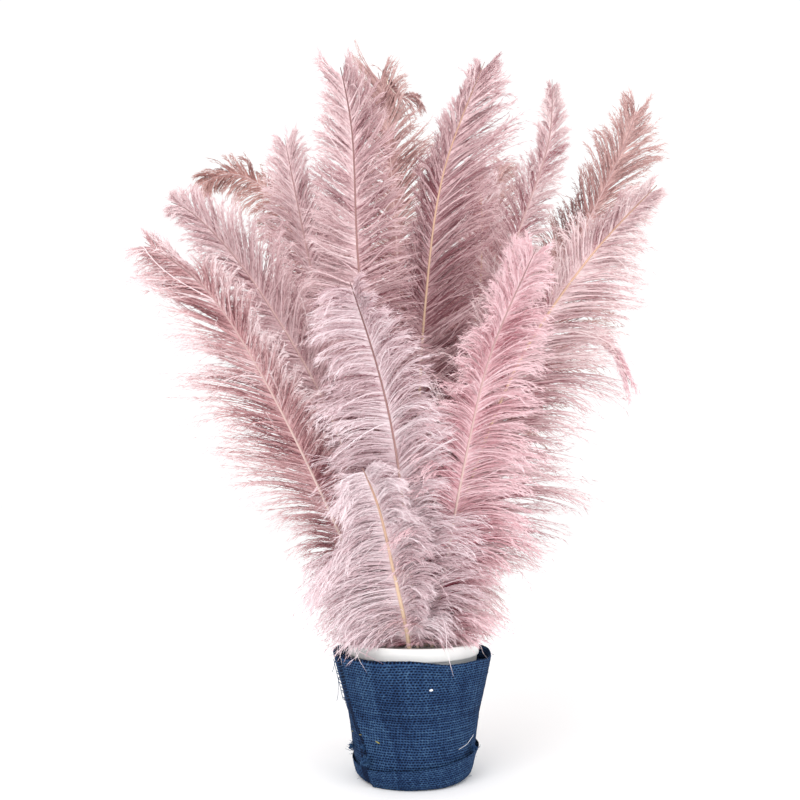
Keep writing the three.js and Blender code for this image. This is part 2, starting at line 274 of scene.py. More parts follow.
# How a plume looks where its own entry doesn't say otherwise. Angles are in degrees, a barb's reach in
# millimetres, and v is the share of the vane from its foot to its tip.
USUAL = {
    "bare": 0.36,  # where the vane starts, as a share of the length
    "end": 0.965,  # where the vane ends
    "barbs": 960,  # barbs in the vane, both sides together
    "barb": 50,  # the longest barbs' reach to each side
    "base": 0.7,  # the lowest barbs' reach, as a share of the longest
    "full": 0.3,  # the v where the reach is full
    "tip": 0.24,  # the tip barbs' reach, as a share of the longest
    "left": 1.0,  # scale of the left barbs
    "right": 1.0,  # scale of the right barbs
    "root": (54, 24),  # angle between barb and shaft, at the foot and the tip
    "lean": 0,  # how much further up the right barbs stand, and down the left ones
    "bend": 16,  # how far a barb bends outwards
    "hook": 0,  # how far a barb's end hooks
    "droop": 0.45,  # how much barbs hang
    "camber": 0.42,  # how far barbs curve out of the vane
    "scatter": 0,  # how much that differs from barb to barb
    "ragged": 0.1,  # how uneven the vane's edge is
    "curl": 0,  # how far the tip curls towards the front, in millimetres
    "web": 1,  # how wide the barbs are at their roots
    "quill": 1,  # how thick the shaft is
    "shaft": "shaft_rosy",  # colour of the shaft
    "shade": 0,  # how much deeper the dye is
    "side_shade": 0,  # how much deeper it is on the right than in the middle
    "low_deeper": 0.16,  # how much darker the vane's foot is: a painted shade
    "tip_paler": 0.22,  # how much paler it is at the tip
    "sprigs": (),  # small side shafts
    "rim_strands": (),  # single barbs over the pot's rim
}

# The usual look of the plumes at the back
BACK = {**USUAL, "bare": 0.28, "barbs": 900, "barb": 54, "web": 1.8, "low_deeper": 0.3}

# The down on each quill, from just above the foam to where the vane starts, and the nest of short barbs
# that lie over the foam
DOWN_FOOT = 121
NEST_TOP = 134
DOWN = {
    "barbs": 140, "barb": 30, "base": 1, "tip": 0.9, "left": 1, "right": 1, "root": (52, 46), "lean": 0,
    "bend": 40, "droop": 0.9, "camber": 0.6, "scatter": 0.8, "ragged": 0.3, "low_deeper": 0.28,
}
NEST = {
    **DOWN, "barbs": 40, "barb": 22, "root": (80, 50), "bend": 10, "droop": 0.7, "camber": 0.2,
    "scatter": 1.3,
}

# The small curl that springs to the right from the tip of the tallest plume
SPRIG_STRETCH = (0.05, 0.98)
CURLED_SPRIG = {
    "spine": [(-27, 702), (-24, 692), (-12, 680), (0, 684), (9, 681)], "curl": 0, "quill": 0.3, "barb": 7,
    "barbs": 110, "left": 0.1, "right": 3, "root": (66, 40), "bend": 10, "base": 1, "tip": 0.4,
    "tip_paler": 0,
}


def entry(name, tone, low_xs, points, usual=USUAL, **looks):
    """One plume: its shaft's x at the foot and over the foam, (x, z) points on to its tip, and its looks."""
    spine = [(low_xs[0], FOOT_Z), (low_xs[1], OVER_FOAM_Z), *points]
    return {**usual, **looks, "name": "plume_" + name, "tone": tone, "spine": spine}


# Each plume, front layer first
PLUMES = [
    entry(
        "front_low", "lilac", (-3, -5), [(-18, 189), (-30, 244), (-43, 278)],
        bare=0.22, barbs=1000, barb=44, base=0.64, full=0.35, left=1.15, right=0.74, root=(60, 50), lean=15,
        bend=38, hook=46, droop=0.8, ragged=0.22, curl=34, quill=1.35, shaft="shaft_golden", shade=-0.12,
        low_deeper=0.06, rim_strands=RIM_STRANDS,
    ),
    entry(
        "front_curl", "lilac", (5, 3), [(-6, 215), (-17, 297), (-31, 356), (-51, 414)],
        bare=0.18, barbs=1300, barb=43, base=0.8, left=1.1, right=0.88, root=(66, 38), lean=12, bend=26,
        hook=22, droop=0.5, ragged=0.22, curl=30, shaft="shaft_dark", shade=-0.08, low_deeper=0.06,
        tip_paler=-0.12,
    ),
    entry(
        "rose_right", "rose", (16, 17), [(29, 201), (44, 290), (62, 370), (96, 450)],
        bare=0.15, barbs=1200, barb=45, base=0.62, root=(58, 28), bend=30, droop=0.7, ragged=0.2, curl=12,
        shade=-0.08, low_deeper=0.42,
    ),
    entry(
        "low_left", "dusty", (-22, -27), [(-77, 249), (-124, 348), (-170, 420), (-228, 464)],
        bare=0.15, barbs=1200, barb=58, base=0.32, full=0.62, left=1.1, right=0.6, root=(54, 26), bend=10,
        droop=0.4, curl=8, shade=0.1,
    ),
    entry(
        "wide_right", "blush", (8, 12), [(46, 255), (89, 366), (145, 450), (210, 518)],
        bare=0.14, end=0.95, barbs=1400, barb=54, base=0.75, tip=0.12, right=1.15, root=(56, 28), bend=18,
        droop=0.6, curl=6, web=1.5, quill=1.15, shaft="shaft_golden", shade=0.16, low_deeper=0,
    ),
    entry(
        "left", "mauve", (-14, -18), [(-66, 305), (-128, 421), (-185, 489), (-224, 508)],
        end=0.95, barb=48, tip=0.14, root=(50, 24), bend=6, hook=30, droop=0.3,
    ),
    entry(
        "tall_left", "mauve", (-6, -8), [(-33, 310), (-48, 450), (-53, 560), (-68, 632)],
        bare=0.34, end=0.94, barbs=1200, barb=38, tip=0.4, root=(84, 26), bend=2, droop=0.3, web=1.5,
        shaft="shaft_dark", shade=0.02, side_shade=0.1, tip_paler=0.1,
    ),
    entry(
        "mid_left", "mauve", (-26, -28), [(-60, 325), (-88, 440), (-106, 527), (-115, 574)],
        bare=0.38, barb=40, web=1.4, low_deeper=0.3,
    ),
    entry(
        "tall_right", "mauve", (2, 1), [(4, 300), (11, 430), (28, 550), (70, 662)],
        barbs=1300, barb=52, tip=0.2, left=0.6, right=1.15, root=(50, 25), bend=4, droop=0.3, web=1.6,
        quill=1.15, shaft="shaft_golden", shade=0.26,
    ),
    entry(
        "slender", "blush", (22, 24), [(62, 350), (97, 490), (130, 590), (134, 664)],
        bare=0.38, barbs=800, barb=32, tip=0.1, root=(44, 24), shade=0.12,
    ),
    entry(
        "tan_right", "tan", (12, 15), [(76, 325), (150, 478), (200, 578), (227, 648)],
        bare=0.34, barb=52, root=(44, 24), shade=0.1,
    ),
    entry(
        "centre", "dusty", (-12, -9), [(34, 295), (64, 430), (71, 530), (66, 608)],
        barb=48, left=1.2, web=1.5, shaft="shaft_golden", shade=0.1, low_deeper=0.42,
    ),
    entry(
        "tallest", "tan", (-2, -3), [(-12, 440), (-22, 600), (-30, 680), (-46, 742)],
        bare=0.4, end=0.93, barb=52, tip=0.4, right=1.1, web=1.4, low_deeper=0.4, tip_paler=0.1,
        sprigs=[CURLED_SPRIG],
    ),
    entry(
        "arching_left", "brown",
        (-20, -24), [(-78, 390), (-122, 530), (-156, 580), (-200, 598), (-242, 572)],
        bare=0.42, barbs=800, barb=33, root=(52, 34), bend=10, droop=1.5,
    ),
    entry(
        "drooping_right", "rose",
        (20, 24), [(84, 285), (140, 386), (176, 418), (206, 406), (224, 358)],
        barbs=320, barb=16, tip=0.8, root=(24, 14), bend=-8, droop=1.0,
    ),
    entry(
        "back_tan", "tan", (4, 5), [(36, 330), (78, 520), (114, 662)],
        usual=BACK, low_deeper=0.45,
    ),
    entry(
        "back_left", "mauve", (-14, -17), [(-46, 330), (-78, 500), (-98, 620)],
        usual=BACK, barb=56,
    ),
    entry(
        "back_right", "tan", (14, 18), [(70, 330), (138, 480), (196, 570)],
        usual=BACK,
    ),
    entry(
        "back_low_left", "dusty", (-10, -14), [(-68, 290), (-130, 430), (-190, 520)],
        usual=BACK, bare=0.32,
    ),
    entry(
        "back_centre", "mauve", (0, 0), [(2, 280), (10, 420), (24, 540)],
        usual=BACK, bare=0.3, barb=56, root=(60, 30),
    ),
    entry(
        "back_low", "dusty", (8, 10), [(22, 230), (32, 320), (36, 392)],
        bare=0.2, barbs=900, barb=54, base=0.9, root=(62, 34), bend=30, droop=0.7, curl=-8, web=1.4,
        shade=-0.15,
    ),
]
MIDDLE_LAYER = (len(PLUMES) - 1) / 2


def unit(vectors):
    """The vectors at length one."""
    return vectors / np.maximum(np.linalg.norm(vectors, axis=-1, keepdims=True), 1e-12)


def smooth(low, high, value):
    """A smooth step from 0 at low to 1 at high."""
    share = np.clip((value - low) / (high - low), 0, 1)
    return share * share * (3 - 2 * share)


def linear(rgb):
    """An sRGB colour of 0 to 255 as the linear values that shaders take."""
    values = [c / 255 for c in rgb]
    return [c / 12.92 if c <= 0.04045 else ((c + 0.055) / 1.055) ** 2.4 for c in values] + [1.0]


# Meshes

def mesh_object(name, points, triangles, materials, values=None, material_ids=None):
    """A smooth mesh object from arrays of points and triangles, with float attributes on its points."""
    mesh = bpy.data.meshes.new(name)
    mesh.vertices.add(len(points))
    mesh.vertices.foreach_set("co", np.asarray(points, np.float32).ravel())
    mesh.loops.add(triangles.size)
    mesh.loops.foreach_set("vertex_index", np.asarray(triangles, np.int32).ravel())
    mesh.polygons.add(len(triangles))
    mesh.polygons.foreach_set("loop_start", np.arange(0, triangles.size, 3, dtype=np.int32))
    mesh.polygons.foreach_set("use_smooth", np.ones(len(triangles), bool))
    if material_ids is not None:
        mesh.polygons.foreach_set("material_index", np.asarray(material_ids, np.int32))
    for material in materials:
        mesh.materials.append(material)
    for key, array in (values or {}).items():
        made = mesh.attributes.new(key, "FLOAT", "POINT")
        made.data.foreach_set("value", np.asarray(array, np.float32))
    mesh.update(calc_edges=True)
    mesh.validate()
    made = bpy.data.objects.new(name, mesh)
    bpy.context.scene.collection.objects.link(made)
    return made


class Parts:
    """Gathers pieces of one mesh: points, triangles, material numbers and attributes."""

    def __init__(self):
        self.points = []
        self.triangles = []
        self.material_ids = []
        self.values = {"tone": [], "along": []}
        self.count = 0

    def add(self, points, triangles, tone, along, material_id=0):
        """One more piece; tone and along are one number, or one a point."""
        self.points.append(points)
        self.triangles.append(triangles + self.count)
        self.material_ids.append(np.full(len(triangles), material_id))
        self.values["tone"].append(np.broadcast_to(tone, len(points)))
        self.values["along"].append(np.broadcast_to(along, len(points)))
        self.count += len(points)

    def build(self, name, *materials):
        """All the pieces as one object."""
        points, triangles = np.concatenate(self.points), np.concatenate(self.triangles)
        values = {key: np.concatenate(parts) for key, parts in self.values.items()}
        return mesh_object(name, points, triangles, materials, values, np.concatenate(self.material_ids))


def ring_walls(rings, sides):
    """The triangles between rings of points, listed ring by ring."""
    start = np.arange(rings - 1)[:, None] * sides
    low = (start + np.arange(sides)).ravel()
    beside = (start + (np.arange(sides) + 1) % sides).ravel()
    return np.stack([low, beside, beside + sides, low, beside + sides, low + sides], 1).reshape(-1, 3)


def tube(path, radii, sides):
    """Points and triangles of a tube along a path, closed at both ends, with one radius or one a point."""
    path = np.asarray(path, float)
    tangent = unit(np.gradient(path, axis=0))
    first = unit(np.cross(tangent, np.array([0.31, 0.95, 0.12])))
    second = np.cross(tangent, first)
    angles = np.linspace(0, 2 * math.pi, sides, endpoint=False)
    ring = np.cos(angles)[None, :, None] * first[:, None] + np.sin(angles)[None, :, None] * second[:, None]
    radii = np.broadcast_to(radii, len(path))
    points = (path[:, None] + ring * radii[:, None, None]).reshape(-1, 3)
    start = [(0, i + 1, i) for i in range(1, sides - 1)]
    last = (len(path) - 1) * sides
    end = [(last, last + i, last + i + 1) for i in range(1, sides - 1)]
    return points, np.concatenate([ring_walls(len(path), sides), start, end])


# The plumes' shafts, by the same rules as the part's solids

def layer_gap(z):
    """How far a layer has spread from its neighbour at height z."""
    up = z - FOAM_TOP
    rise = np.maximum(up, 0)
    return LAYER_PITCH + LAYER_SPREAD * (0.4 * up + 0.6 * rise * rise / (rise + FAN_BEND))


def layer_depth(layer, x, z):
    """The depth (y) of a layer at the point (x, z), in millimetres."""
    wrap = 1 - FAN_WRAP * (x / FAN_HALF_WIDTH) ** 2
    sway = FAN_SWAY * np.clip((z - FOAM_TOP) / FAN_SWAY_RISE, 0, 1)
    return (layer - MIDDLE_LAYER) * layer_gap(z) * wrap + sway * np.sin(x / FAN_SWAY_LENGTH)


def spline(points, count):
    """Evenly spaced points on a smooth curve through the given points, and the curve's length."""
    p = np.asarray(points, float)
    t = np.linspace(0, len(p) - 1, 1200)
    i = np.minimum(t.astype(int), len(p) - 2)
    w = (t - i)[:, None]
    before, here, there, after = p[np.maximum(i - 1, 0)], p[i], p[i + 1], p[np.minimum(i + 2, len(p) - 1)]
    start, stop = (there - before) / 2, (after - here) / 2
    curve = (2 * here - 2 * there + start + stop) * w**3 + (-3 * here + 3 * there - 2 * start - stop) * w**2
    curve += start * w + here
    run = np.concatenate([[0], np.cumsum(np.linalg.norm(np.diff(curve, axis=0), axis=1))])
    even = np.linspace(0, run[-1], count)
    return np.stack([np.interp(even, run, curve[:, k]) for k in range(p.shape[1])], 1), run[-1]


class Shaft:
    """A plume's shaft in space: points, directions and its length, by the share t of its length."""

    def __init__(self, plume, layer):
        self.plume = plume
        self.layer = layer
        flat, self.length = spline(plume["spine"], SHAFT_SAMPLES)
        self.t = np.linspace(0, 1, len(flat))
        curl = plume["curl"] * np.maximum(0, (self.t - CURL_FROM) / (1 - CURL_FROM)) ** 2
        depth = layer_depth(layer, flat[:, 0], flat[:, 1]) - curl
        self.path = np.stack([flat[:, 0], depth, flat[:, 1]], 1)
        self.along = unit(np.gradient(self.path, axis=0))
        flat_along = unit(np.gradient(flat, axis=0))
        right = np.stack([flat_along[:, 1], -flat_along[:, 0]], 1)
        beside = layer_depth(layer, flat[:, 0] + right[:, 0], flat[:, 1] + right[:, 1])
        here = layer_depth(layer, flat[:, 0], flat[:, 1])
        self.right = unit(np.stack([right[:, 0], beside - here, right[:, 1]], 1))
        self.right = unit(self.right - (self.right * self.along).sum(1, keepdims=True) * self.along)
        self.front = np.cross(self.right, self.along)

    def at(self, t, what):
        """A shaft array (path, along, right or front) at each share t."""
        return np.stack([np.interp(t, self.t, what[:, k]) for k in range(3)], -1)

    def share_at(self, z):
        """The share of the length at which the shaft's low stretch passes a height."""
        return float(np.interp(z, self.path[:LOW_SAMPLES, 2], self.t[:LOW_SAMPLES]))

    def taper(self, t):
        """The quill's half width at a share t, as a share of that at the foot."""
        return 1 - (1 - QUILL_TIP_SHARE) * t


def add_shaft(parts, shaft, rng):
    """The quill and shaft: a round tube that tapers to the plume's tip."""
    t = np.linspace(0, shaft.plume["end"] + SHAFT_PAST_BARBS, SHAFT_STATIONS)
    end = 1 - smooth(0.9, 1.0, t) * 0.6
    thick = QUILL_HALF_WIDTH * shaft.plume["quill"]
    points, triangles = tube(shaft.at(t, shaft.path), thick * shaft.taper(t) * end, SHAFT_SIDES)
    along = np.repeat(t, SHAFT_SIDES)
    tone = np.repeat(rng.uniform(0.4, 0.6, SHAFT_STATIONS), SHAFT_SIDES)
    parts.add(points * MM, triangles, tone, along, material_id=1)


# Barbs

def vane_reach(stand, v):
    """How far barbs reach sideways at a share v of the vane."""
    from_base = stand["base"] + (1 - stand["base"]) * np.minimum(1, v / stand["full"])
    return stand["barb"] * from_base * (1 - (1 - stand["tip"]) * v**VANE_TAPER)


def clump_numbers(count, size, rng):
    """A clump number for each of count neighbouring barbs: runs of uneven length, about size each."""
    lengths = rng.integers(max(size // 2, 1), size * 3 // 2 + 1, count)
    return np.repeat(np.arange(count), lengths)[:count]


def wander(count, period, rng):
    """Random values about zero that change smoothly along count neighbours, once in each period."""
    knots = rng.normal(0, 1, int(count / period) + 4)
    place = np.arange(count) / period + rng.uniform(0, 1)
    i = place.astype(int)
    w = smooth(0, 1, place - i)
    return knots[i] * (1 - w) + knots[i + 1] * w


def gather(paths, clump, pull):
    """Draws the barbs of each clump towards their shared middle line, by a pull for each barb and step."""
    sums = np.zeros((clump.max() + 1,) + paths.shape[1:])
    np.add.at(sums, clump, paths)
    middles = sums / np.maximum(np.bincount(clump), 1)[:, None, None]
    return paths + (middles[clump] - paths) * pull[..., None]


def rest_on_rim(paths):
    """Keeps low barbs on top of the pot's rim, until they hang a little way down clear outside the burlap."""
    z = paths[..., 2]
    reach = np.hypot(paths[..., 0], paths[..., 1])
    outside = reach > CLEAR_OF_CLOTH
    hung = np.where(z < HANG_LOWEST, HANG_LOWEST + HANG_SHARE * (z - HANG_LOWEST), z)
    paths[..., 2] = np.where(outside, hung, np.maximum(z, RIM_REST))
    return paths


def barb_values(side, stand, rng):
    """How the barbs on one side of a stretch stand: arrays of one value a barb."""
    count = stand["barbs"] // 2
    v = np.clip((np.arange(count) + 0.5 + rng.normal(0, ROOT_JITTER, count)) / count, 0, 1)
    lock = clump_numbers(count, LOCK_BARBS, rng)
    # The barbs' pattern of random values goes on from after this draw, of which nothing else is used.
    clump_numbers(count, TUFT_BARBS, rng)

    def varied(what):
        by_tuft, by_lock, by_barb = SPREAD[what]
        in_locks = rng.normal(0, by_lock, lock.max() + 1)[lock]
        return wander(count, TUFT_BARBS, rng) * by_tuft + in_locks + rng.normal(0, by_barb, count)

    low_root, tip_root = stand["root"]
    root = low_root + (tip_root - low_root) * v**1.8 - side * stand["lean"]
    root = np.radians(root + varied("root"))
    bend = np.radians(stand["bend"] * (1 - 0.6 * v) + varied("bend"))
    hook = np.radians(stand["hook"] * (0.4 + 0.9 * v) + varied("hook"))
    wave = np.radians(varied("wave"))
    phase = varied("phase")
    lift = varied("lift")
    camber = stand["camber"] * (1 - 0.5 * v) + varied("camber") + stand["scatter"] * rng.normal(0, 1, count)
    droop = stand["droop"] * (1 - 0.5 * v) * (1 + varied("droop"))
    scale = stand["left"] if side < 0 else stand["right"]
    length = vane_reach(stand, v) * (BARB_OVER_REACH + 0.25 * v) * scale
    length = length * (1 + varied("length")) * (1 + stand["ragged"] * wander(count, RAGGED_BARBS, rng))
    length = length * np.where(rng.random(count) < SHORT_SHARE, rng.uniform(*SHORT_LENGTHS, count), 1)
    stray = rng.random(count) < STRAY_SHARE
    root = root + stray * rng.normal(0, STRAY_ROOT, count)
    bend = bend + stray * rng.normal(0, STRAY_BEND, count)
    lift = lift + stray * np.abs(rng.normal(0, STRAY_LIFT, count))
    pull = np.where(stray, 0, np.clip(LOCK_PULL + varied("pull"), 0, LOCK_PULL_MOST))

    # Barbs lifted out of the vane are paler and those lying back are darker: painted light and shade
    tone = 0.5 + varied("tone") + 0.6 * lift + stand["tip_paler"] * smooth(0.6, 1, v) - stand["shade"]
    tone = tone - side * stand["side_shade"]
    # Painted shade low in the bunch, at the vane's foot
    tone = np.clip(tone - stand["low_deeper"] * (1 - smooth(0, 0.5, v)), 0, 1)
    first, last = stand["stretch"]
    return SimpleNamespace(
        t=first + (last - first) * v, root=root, bend=bend, hook=hook, wave=wave, phase=phase, lift=lift,
        camber=camber, droop=droop, length=length, lock=lock, pull=pull, tone=tone,
    )


def grow_barbs(shaft, side, barbs):
    """The barbs' paths (barb, step, xyz), grown step by step from the shaft, and their outward directions."""
    outward = -1 if shaft.layer < MIDDLE_LAYER else 1
    t = barbs.t
    along, right = shaft.at(t, shaft.along), shaft.at(t, shaft.right)
    out = shaft.at(t, shaft.front) * (-outward)
    out = out * np.sign((out[:, 1] * outward))[:, None]
    paths = np.empty((len(t), BARB_STEPS + 1, 3))
    paths[:, 0] = shaft.at(t, shaft.path) + right * (side * QUILL_HALF_WIDTH * shaft.taper(t) * 0.8)[:, None]
    for step in range(BARB_STEPS):
        u = (step + 0.5) / BARB_STEPS
        hooked = max(0, (u - HOOK_FROM) / (1 - HOOK_FROM)) ** 1.5
        angle = barbs.root + barbs.bend * u**1.3 + barbs.hook * hooked
        angle = angle + barbs.wave * np.sin(6 * u + barbs.phase)
        direction = np.cos(angle)[:, None] * along + side * np.sin(angle)[:, None] * right
        direction = direction + (barbs.lift + barbs.camber * u)[:, None] * out
        direction[:, 2] -= barbs.droop * u**1.6
        paths[:, step + 1] = paths[:, step] + unit(direction) * (barbs.length / BARB_STEPS)[:, None]
    return paths, out


def barb_paths(shaft, side, stand, rng):
    """Barbs on one side of a stretch of the shaft, drawn into locks: paths, outward directions and tones."""
    barbs = barb_values(side, stand, rng)
    paths, out = grow_barbs(shaft, side, barbs)
    along = np.linspace(0, 1, BARB_STEPS + 1)[None]
    return rest_on_rim(gather(paths, barbs.lock, barbs.pull[:, None] * along**1.9)), out, barbs.tone


def stands(shaft):
    """The stretches of barbs on a plume: its vane, the down below it and the nest over the foam."""
    plume = shaft.plume
    start = max(plume["bare"], CLEAR_OF_FOAM / shaft.length + 0.02) - VANE_LOWER
    foot = shaft.share_at(DOWN_FOOT)
    return [
        {**plume, "stretch": (start, plume["end"])},
        {**plume, **DOWN, "stretch": (foot, start + DOWN_OVERLAP)},
        {**plume, **NEST, "stretch": (foot, shaft.share_at(NEST_TOP))},
    ]


def add_barbs(parts, paths, out, tone, rng, web=1):
    """Each barb as a narrow ribbon that ends in a point."""
    count, points_each, _ = paths.shape
    along = np.linspace(0, 1, points_each)
    tangent = unit(np.gradient(paths, axis=1))
    facing = unit(out[:, None] + BARB_FACING * rng.normal(0, 1, (count, 1, 3)))
    across = unit(np.cross(tangent, facing))
    root_width = BARB_ROOT_WIDTH * web
    width = BARB_WIDTH * 0.5 * (root_width - (root_width - BARB_TIP_WIDTH) * along**0.8)[None, :, None]
    left, right = paths - across * width, paths + across * width
    ribbon = np.stack([left, right], 2).reshape(count, -1, 3)
    used = 2 * points_each - 1
    ribbon = ribbon[:, :used]
    ribbon[:, -1] = paths[:, -1]
    one = []
    for i in range(points_each - 2):
        one += [(2 * i, 2 * i + 1, 2 * i + 3), (2 * i, 2 * i + 3, 2 * i + 2)]
    last = 2 * (points_each - 2)
    one += [(last, last + 1, last + 2)]
    triangles = (np.array(one)[None] + (np.arange(count) * used)[:, None, None]).reshape(-1, 3)
    # The rib is paler than its fluff: painted light
    tones = np.repeat(np.clip(tone + RIB_PAINTED_LIGHT, 0, 1), used)
    parts.add(ribbon.reshape(-1, 3) * MM, triangles, tones, np.tile(np.repeat(along, 2)[:used], count))


def add_barbules(parts, paths, out, tone, rng):
    """The fluff on each barb: many thin pointed barbules that lean towards the barb's tip."""
    count, points_each, _ = paths.shape
    each = BARBULES_PER_BARB
    u = rng.uniform(0.03, 1, (count, each))
    place = u * (points_each - 1)
    i = np.minimum(place.astype(int), points_each - 2)
    w = (place - i)[..., None]
    rows = np.arange(count)[:, None]
    low, high = paths[rows, i], paths[rows, i + 1]
    point = low * (1 - w) + high * w
    tangent = unit(high - low)
    flat_side = unit(np.cross(tangent, out[:, None]))
    roll = rng.normal(0, BARBULE_ROLL, (count, each, 1))
    roll = roll + np.where(rng.random((count, each, 1)) < 0.5, 0, math.pi)
    aside = np.cos(roll) * flat_side + np.sin(roll) * out[:, None]
    lean = rng.uniform(*BARBULE_LEAN, (count, each, 1))
    direction = unit(tangent * lean + aside)
    by_place = 0.5 + 0.5 * smooth(0, 0.5, u[..., None]) - 0.25 * u[..., None]
    length = BARBULE_LENGTH * rng.uniform(*BARBULE_SHARES, (count, each, 1)) * by_place
    tip = point + direction * length
    tip[..., 2] -= BARBULE_DROOP * length[..., 0]
    facing = unit(out[:, None] + 0.6 * rng.normal(0, 1, (count, each, 3)))
    half = unit(np.cross(direction, facing)) * BARBULE_WIDTH * 0.5
    points = np.stack([point - half, point + half, tip], 2).reshape(-1, 3)
    triangles = np.arange(len(points)).reshape(-1, 3)
    # Fluff darker towards the barb's root: painted shade
    tones = np.clip(tone[:, None] - FLUFF_PAINTED_SHADE * (1 - u) + rng.normal(0, 0.06, (count, each)), 0, 1)
    parts.add(points * MM, triangles, np.repeat(tones.ravel(), 3), np.repeat(u.ravel(), 3))


def front_of_ring(radius, x):
    """The depth (y) of a ring round the pot's axis where it passes x at the front."""
    return -math.sqrt(max(radius**2 - x**2, STRAND_LEAST_DEPTH**2))


def add_rim_strands(parts, strands, rng):
    """Single barbs that hang over the rim: from the bunch, across the rim and down outside the burlap."""
    paths = []
    for x_rim, x_end, z_end, _tone in strands:
        y_rim = front_of_ring(CLEAR_OF_CLOTH + 2, x_rim)
        y_end = front_of_ring(CLEAR_OF_CLOTH + 3, x_end)
        knots = [
            (x_rim * 0.25, -14, 150), (x_rim * 0.6, y_rim * 0.5, 163), (x_rim * 0.95, y_rim * 0.95, 140),
            (x_rim, y_rim, 122), (x_end, y_end, z_end),
        ]
        path, _length = spline(knots, BARB_STEPS + 1)
        paths.append(path + rng.normal(0, 0.3, path.shape))
    towards_front = np.tile((0.0, -1.0, 0.0), (len(strands), 1))
    add_barbs(parts, np.array(paths), towards_front, np.array([strand[-1] for strand in strands]), rng)


def make_plume(plume, layer, materials):
    """One whole plume: shaft, barbs and fluff in one mesh, in place of its plain solid."""
    rng = np.random.default_rng(100 + layer)
    shaft = Shaft(plume, layer)
    parts = Parts()
    stretches = [(shaft, stand) for stand in stands(shaft)]
    for sprig in plume["sprigs"]:
        twig = Shaft({**plume, **sprig}, layer)
        stretches.append((twig, {**twig.plume, "stretch": SPRIG_STRETCH}))
        add_shaft(parts, twig, rng)
    for carrier, stand in stretches:
        for side in (-1, 1):
            paths, out, tone = barb_paths(carrier, side, stand, rng)
            add_barbs(parts, paths, out, tone, rng, plume["web"])
            add_barbules(parts, paths, out, tone, rng)
    if plume["rim_strands"]:
        add_rim_strands(parts, plume["rim_strands"], rng)
    add_shaft(parts, shaft, rng)
    made = parts.build(plume["name"] + "_feather", materials[plume["tone"]], materials[plume["shaft"]])
    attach(made, "root")
    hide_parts(plume["name"])


# Materials

class Field:
    """A value that changes over a surface: a shader socket that takes part in plain arithmetic."""

    def __init__(self, tree, socket):
        self.tree = tree
        self.socket = socket

    def __add__(self, other):
        return join("ADD", self, other)

    def __sub__(self, other):
        return join("SUBTRACT", self, other)

    def __rsub__(self, other):
        return join("SUBTRACT", other, self)

    def __mul__(self, other):
        return join("MULTIPLY", self, other)

    def __pow__(self, other):
        return join("POWER", self, other)


def join(operation, a, b=0.0):
    """The field that one math node makes from a and b, of which one may be a number."""
    tree = a.tree if isinstance(a, Field) else b.tree
    made = tree.nodes.new("ShaderNodeMath")
    made.operation = operation
    for socket, value in zip(made.inputs, (a, b)):
        if isinstance(value, Field):
            tree.links.new(value.socket, socket)
        else:
            socket.default_value = value
    return Field(tree, made.outputs["Value"])


def new_material(name, roughness, specular=None):
    """A node material with a Principled shader: (material, tree, shader)."""
    material = bpy.data.materials.new(name)
    material.use_nodes = True
    shader = material.node_tree.nodes["Principled BSDF"]
    shader.inputs["Roughness"].default_value = roughness
    if specular is not None:
        shader.inputs["Specular IOR Level"].default_value = specular
    return material, material.node_tree, shader


def attribute(tree, name):
    """The values of a named mesh attribute."""
    made = tree.nodes.new("ShaderNodeAttribute")
    made.attribute_name = name
    return Field(tree, made.outputs["Fac"])


def noise(tree, scale, detail=3.0):
    """Soft noise over the object, in its own coordinates."""
    where = tree.nodes.new("ShaderNodeTexCoord").outputs["Object"]
    made = tree.nodes.new("ShaderNodeTexNoise")
    made.inputs["Scale"].default_value = scale
    made.inputs["Detail"].default_value = detail
    tree.links.new(where, made.inputs["Vector"])
    return Field(tree, made.outputs["Fac"])


def colour_by(shader, field, stops):
    """Colours a shader by a field, through a ramp of (value, sRGB colour) stops."""
    made = field.tree.nodes.new("ShaderNodeValToRGB")
    elements = made.color_ramp.elements
    while len(elements) < len(stops):
        elements.new(0.5)
    for element, (position, colour) in zip(elements, stops):
        element.position = position
        element.color = linear(colour)
    field.tree.links.new(field.socket, made.inputs["Fac"])
    field.tree.links.new(made.outputs["Color"], shader.inputs["Base Color"])


def roughen(shader, heights, strength, depth):
    """Fine bumps on a shader from a field of heights, over the real relief."""
    bump = heights.tree.nodes.new("ShaderNodeBump")
    bump.inputs["Strength"].default_value = strength
    bump.inputs["Distance"].default_value = depth
    heights.tree.links.new(heights.socket, bump.inputs["Height"])
    heights.tree.links.new(bump.outputs["Normal"], shader.inputs["Normal"])


def plume_material(name, pale, usual, deep, fade):
    """Dyed plume: deep near the shaft, paler towards the barbs' ends, uneven from barb to barb, with painted
    light and shade carried in the tone attribute.
    """
    material, tree, shader = new_material(name, 0.75, 0.25)
    barb_end = join("MAXIMUM", attribute(tree, "along") - FADE_FROM, 0.0)
    shade = attribute(tree, "tone") * TONE_WEIGHT + barb_end * fade
    shade = shade + noise(tree, CLOUD_SCALE) * CLOUD_WEIGHT
    colour_by(shader, shade, list(zip(TONE_STOPS, (deep, usual, pale))))
    shader.inputs["Sheen Weight"].default_value = 0.15
    return material


def shaft_material(name, stops):
    """Horny shaft, its colour changing from the foot to the tip."""
    material, tree, shader = new_material(name, 0.42)
    colour_by(shader, attribute(tree, "along"), stops)
    return material


def pot_material():
    """Smooth white plastic with faint unevenness."""
    material, tree, shader = new_material("pot_white_plastic", 0.38)
    colour_by(shader, noise(tree, 30.0), [(0.3, (240, 240, 238)), (0.7, (250, 250, 249))])
    roughen(shader, noise(tree, 220.0), 0.08, 0.0004)
    return material


def foam_material():
    """White block of fine crumbly foam."""
    material, tree, shader = new_material("foam_cells", 0.95)
    colour_by(shader, noise(tree, 380.0, 5.0), [(0.35, (216, 214, 208)), (0.65, (244, 243, 239))])
    roughen(shader, noise(tree, 520.0, 4.0), 0.6, 0.0008)
    return material


